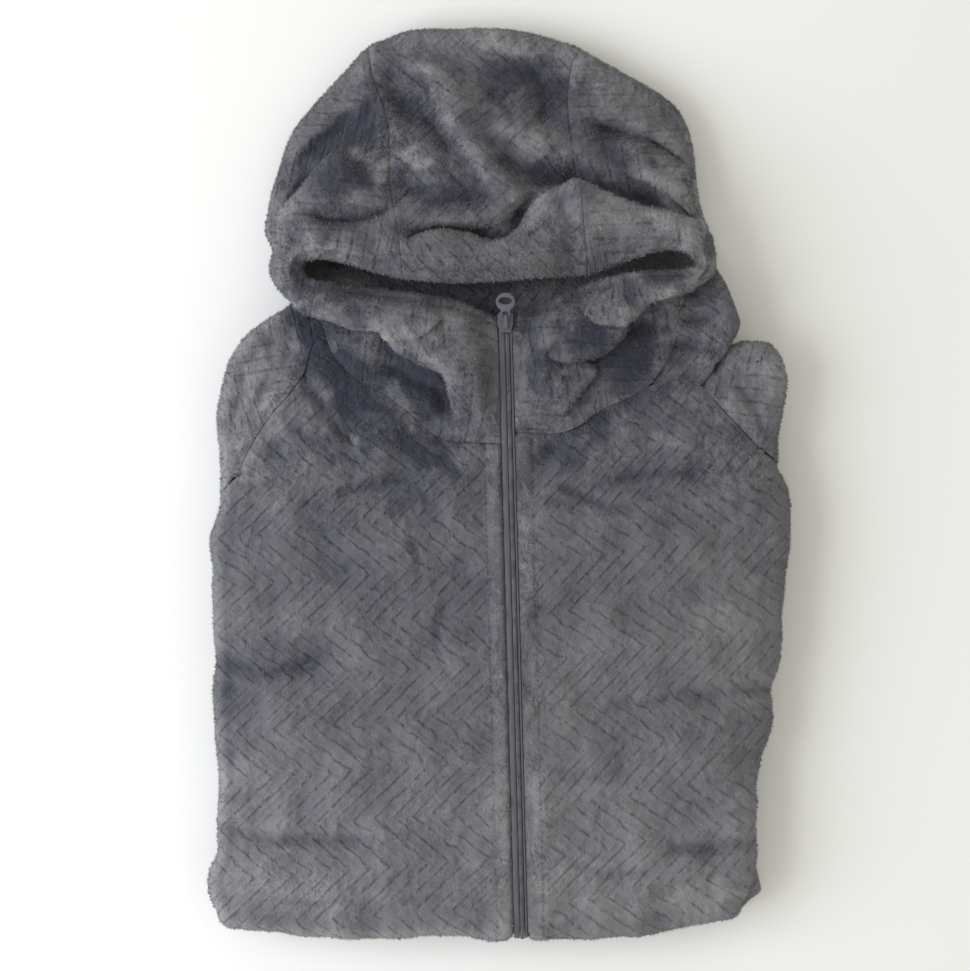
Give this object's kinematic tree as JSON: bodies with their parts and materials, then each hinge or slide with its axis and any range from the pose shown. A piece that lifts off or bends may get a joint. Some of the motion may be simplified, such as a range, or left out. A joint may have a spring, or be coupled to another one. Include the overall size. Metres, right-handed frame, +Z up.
{
  "type": "folded hooded fleece robe",
  "caption": "Hooded plush fleece robe with a full front zip, folded flat face up with its hood laid out above the collar.",
  "frame": {"origin": "centre of the robe's bounding box, on the table that it lies on", "axes": "+Y from the folded hem end to the top of the hood, +Z up from the table, +X to the wearer's left"},
  "size_m": [0.3727, 0.5831, 0.0602],
  "materials": {
    "plush": "grey plush fleece, embossed herringbone",
    "zip_tape": "woven violet-grey tape",
    "zip_coil": "nylon coil",
    "zip_metal": "satin violet-grey paint"
  },
  "bodies": {
    "robe": {"folded_layers": "plush", "front_right": "plush", "front_left": "plush", "sleeve_right": "plush", "sleeve_left": "plush", "hood_back": "plush", "hood_right": "plush", "hood_centre": "plush", "hood_left": "plush", "zip_tape_right": "zip_tape", "zip_tape_left": "zip_tape", "zip_chain": "zip_coil", "zip_slider": "zip_metal"},
    "pull": {"zip_pull": "zip_metal"}
  },
  "joints": [
    {"name": "pull_hinge", "type": "hinge", "parent": "robe", "child": "pull", "pos_m": [0.00414, 0.1033, 0.05406], "axis": [1, 0, 0], "range_deg": [0, 135]}
  ]
}
